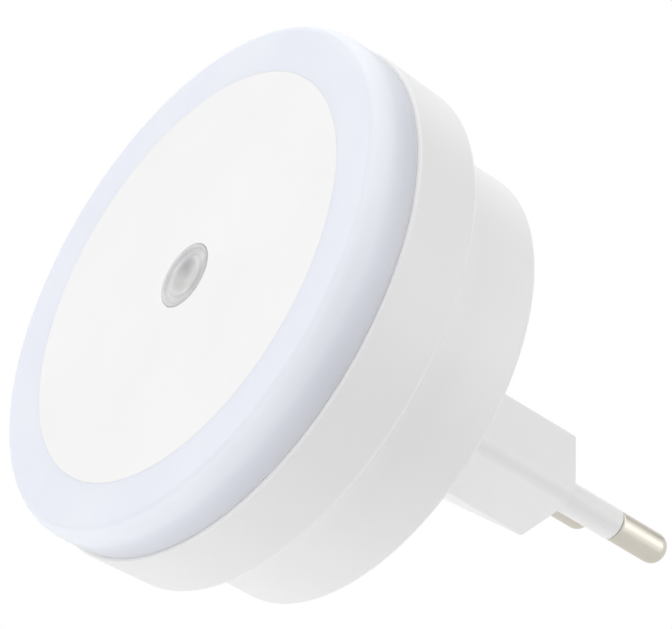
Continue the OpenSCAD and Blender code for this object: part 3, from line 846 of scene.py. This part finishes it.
def pin_sleeve(name, x, node):
    """An insulating sleeve, from inside the plug to the pin's shoulder."""
    inner = PIN_CORE_R + PRESS_GAP
    root = SLEEVE_SEAT - PRESS_GAP
    outline = rounded(
        [(inner, -SLEEVE_LENGTH), (SLEEVE_R, -SLEEVE_LENGTH),
         (SLEEVE_R, root), (inner, root)],
        [SLEEVE_BORE_EDGE, SLEEVE_END_R, SMALL_EDGE, SMALL_EDGE])
    return finish_piece(lathe(name, outline, SMALL_LATHE_STEPS, (x, 0)),
                        sleeve_plastic, "sleeve_white", node)


diffuser_ring()
front_disc()
sensor_window()
rear_housing()
plug_body()
contact_pin("pin_live", pin_x, "live_pin")
contact_pin("pin_neutral", -pin_x, "neutral_pin")
pin_sleeve("sleeve_live", pin_x, "live_sleeve")
pin_sleeve("sleeve_neutral", -pin_x, "neutral_sleeve")


# --------------------------------------------------------- carried-over nodes

INSIDE = (
    ("tray_gloss", (0.9, 0.9, 0.89), 0.25, ["reflector_tray"]),
    ("shroud_matt", (0.40, 0.40, 0.41), 0.6, ["sensor_shroud"]),
    ("board_mask", (0.04, 0.17, 0.08), 0.35, ["circuit_board"]),
    ("led_phosphor", (0.86, 0.74, 0.34), 0.3,
     [f"led_{i}" for i in range(1, 7)]),
    ("film_epoxy", (0.56, 0.33, 0.06), 0.3, ["film_capacitor"]),
    ("can_sleeve", (0.06, 0.07, 0.10), 0.3, ["electrolytic_capacitor"]),
    ("package_epoxy", (0.03, 0.03, 0.03), 0.5,
     ["bridge_rectifier", "switching_transistor"]),
    ("lacquer_tan", (0.55, 0.42, 0.24), 0.25, ["bleeder_resistor"]),
    ("lacquer_green", (0.10, 0.22, 0.16), 0.25, ["fusible_resistor"]),
    ("lacquer_blue", (0.14, 0.30, 0.45), 0.25, ["led_resistor"]),
    ("diode_glass", (0.45, 0.13, 0.05), 0.1, ["zener_diode"]),
    ("wire_brown", (0.15, 0.065, 0.03), 0.45, ["live_wire"]),
    ("wire_blue", (0.035, 0.11, 0.38), 0.45, ["neutral_wire"]))


def dress(finish, names):
    """Give CAD nodes that stay in the scene their finish."""
    for name in names:
        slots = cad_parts[name].data.materials
        for i in range(len(slots)):
            slots[i] = finish


for title, colour, roughness, names in INSIDE:
    dress(plastic(title, colour, roughness, grain=3000, tone=0.05), names)
dress(sensor_clear, ["photo_sensor"])
dress(plated("screw_zinc", (0.62, 0.62, 0.64), roughness=0.31),
      ["board_screws", "plug_screws"])


# --------------------------------------------------------------------- stage

FLOOR_Z = -0.11
FLOOR_R = 4.0
FLOOR_SIDES = 128
FLOOR_TONE = 0.96
FLOOR_SEEN_TONE = 1.18
FADE_FROM = 0.3
FADE_TO = 1.0
WORLD_LIGHT = 1.07
QUIET_WAY = (0.92, 0.36, 0.05)
QUIET_DEPTH = 0.73
BACKDROP = 1.0
LAMP_AIM = Vector((0, -0.03, 0))
PIN_METAL = place(pin_x, -15, 0)


def soft_lamp(name, at, size, power):
    """A large square lamp that looks at the light."""
    data = bpy.data.lights.new(name, "AREA")
    data.shape = "SQUARE"
    data.size = size
    data.energy = power
    lamp = bpy.data.objects.new(name, data)
    lamp.location = at
    look = LAMP_AIM - Vector(at)
    lamp.rotation_euler = look.to_track_quat("-Z", "Y").to_euler()
    lamp.visible_camera = False
    bpy.context.scene.collection.objects.link(lamp)


def reflected_card(name, way, size, strength, distance):
    """A glowing square that only the pins and other glossy pieces show."""
    work = bmesh.new()
    bmesh.ops.create_grid(work, x_segments=1, y_segments=1, size=size / 2)
    mesh = bpy.data.meshes.new(name)
    work.to_mesh(mesh)
    work.free()
    card = bpy.data.objects.new(name, mesh)
    way = Vector(way).normalized()
    card.location = PIN_METAL + way * distance
    card.rotation_euler = way.to_track_quat("Z", "Y").to_euler()
    for kind in ("camera", "diffuse", "transmission", "volume_scatter",
                 "shadow"):
        setattr(card, "visible_" + kind, False)
    bpy.context.scene.collection.objects.link(card)
    finish = Finish(name)
    finish.tree.nodes.remove(finish.shader)
    glow = finish.node("ShaderNodeEmission")
    glow.inputs["Strength"].default_value = strength
    finish.link(glow.outputs[0],
                finish.tree.nodes["Material Output"].inputs["Surface"])
    mesh.materials.append(finish.material)


def seen_directly(tree):
    """1 for rays from the camera and for those in metal and glass."""
    path = tree.nodes.new("ShaderNodeLightPath")
    total = path.outputs["Is Camera Ray"]
    for name in ("Is Glossy Ray", "Is Transmission Ray"):
        most = tree.nodes.new("ShaderNodeMath")
        most.operation = "MAXIMUM"
        tree.links.new(total, most.inputs[0])
        tree.links.new(path.outputs[name], most.inputs[1])
        total = most.outputs[0]
    return total


def studio_world():
    """A plain white room whose light is weaker from the quiet way."""
    world = bpy.data.worlds.new("studio")
    bpy.context.scene.world = world
    world.use_nodes = True
    tree = world.node_tree
    light = tree.nodes["Background"]
    light.inputs["Color"].default_value = (1, 1, 1, 1)
    toward = tree.nodes.new("ShaderNodeVectorMath")
    toward.operation = "DOT_PRODUCT"
    toward.inputs[1].default_value = QUIET_WAY
    tree.links.new(tree.nodes.new("ShaderNodeTexCoord").outputs["Generated"],
                   toward.inputs[0])
    dip = tree.nodes.new("ShaderNodeMapRange")
    dip.interpolation_type = "SMOOTHSTEP"
    dip.inputs["To Min"].default_value = WORLD_LIGHT
    dip.inputs["To Max"].default_value = WORLD_LIGHT * (1 - QUIET_DEPTH)
    tree.links.new(toward.outputs["Value"], dip.inputs["Value"])
    strength = tree.nodes.new("ShaderNodeMapRange")
    tree.links.new(dip.outputs["Result"], strength.inputs["To Min"])
    strength.inputs["To Max"].default_value = BACKDROP
    tree.links.new(seen_directly(tree), strength.inputs["Value"])
    tree.links.new(strength.outputs["Result"], light.inputs["Strength"])


def pale_floor():
    """A wide pale floor that keeps the shadow and fades into the room."""
    work = bmesh.new()
    bmesh.ops.create_circle(work, cap_ends=True, radius=FLOOR_R,
                            segments=FLOOR_SIDES,
                            matrix=Matrix.Translation((0, 0, FLOOR_Z)))
    mesh = bpy.data.meshes.new("floor")
    work.to_mesh(mesh)
    work.free()
    ground = bpy.data.objects.new("floor", mesh)
    bpy.context.scene.collection.objects.link(ground)

    finish = Finish("floor_paper")
    tree = finish.tree
    seen = finish.node("ShaderNodeLightPath").outputs["Is Camera Ray"]
    paper = finish.node("ShaderNodeMapRange")
    paper.inputs["To Min"].default_value = FLOOR_TONE
    paper.inputs["To Max"].default_value = FLOOR_SEEN_TONE
    finish.link(seen, paper.inputs["Value"])
    colour = finish.node("ShaderNodeCombineColor")
    for channel in ("Red", "Green", "Blue"):
        finish.link(paper.outputs["Result"], colour.inputs[channel])
    diffuse = finish.node("ShaderNodeBsdfDiffuse")
    finish.link(colour.outputs["Color"], diffuse.inputs["Color"])
    glow = finish.node("ShaderNodeEmission")
    glow.inputs["Strength"].default_value = BACKDROP
    length = finish.node("ShaderNodeVectorMath", operation="LENGTH")
    finish.link(finish.place, length.inputs[0])
    fade = finish.node("ShaderNodeMapRange",
                       interpolation_type="SMOOTHSTEP")
    fade.inputs["From Min"].default_value = FADE_FROM
    fade.inputs["From Max"].default_value = FADE_TO
    finish.link(length.outputs["Value"], fade.inputs["Value"])
    share = finish.node("ShaderNodeMath", operation="MULTIPLY")
    finish.link(fade.outputs["Result"], share.inputs[0])
    finish.link(seen_directly(tree), share.inputs[1])
    mix = finish.node("ShaderNodeMixShader")
    finish.link(share.outputs[0], mix.inputs["Fac"])
    finish.link(diffuse.outputs[0], mix.inputs[1])
    finish.link(glow.outputs[0], mix.inputs[2])
    tree.nodes.remove(finish.shader)
    finish.link(mix.outputs[0],
                tree.nodes["Material Output"].inputs["Surface"])
    ground.data.materials.append(finish.material)


studio_world()
pale_floor()
soft_lamp("key_lamp", at=(-0.35, -1.0, 0.35), size=0.9, power=0.6)
soft_lamp("top_lamp", at=(0.3, 0.1, 1.0), size=0.8, power=1.45)
reflected_card("streak_card", way=(0.62, 0.49, 0.61), size=0.3,
               strength=2.0, distance=0.6)
reflected_card("tail_card", way=(0.80, 0.538, 0.264), size=0.36,
               strength=1.3, distance=0.64)
reflected_card("flag_card", way=(-0.2, 0.478, 0.85), size=0.26,
               strength=0.6, distance=0.6)
bpy.context.scene.view_settings.view_transform = "Standard"
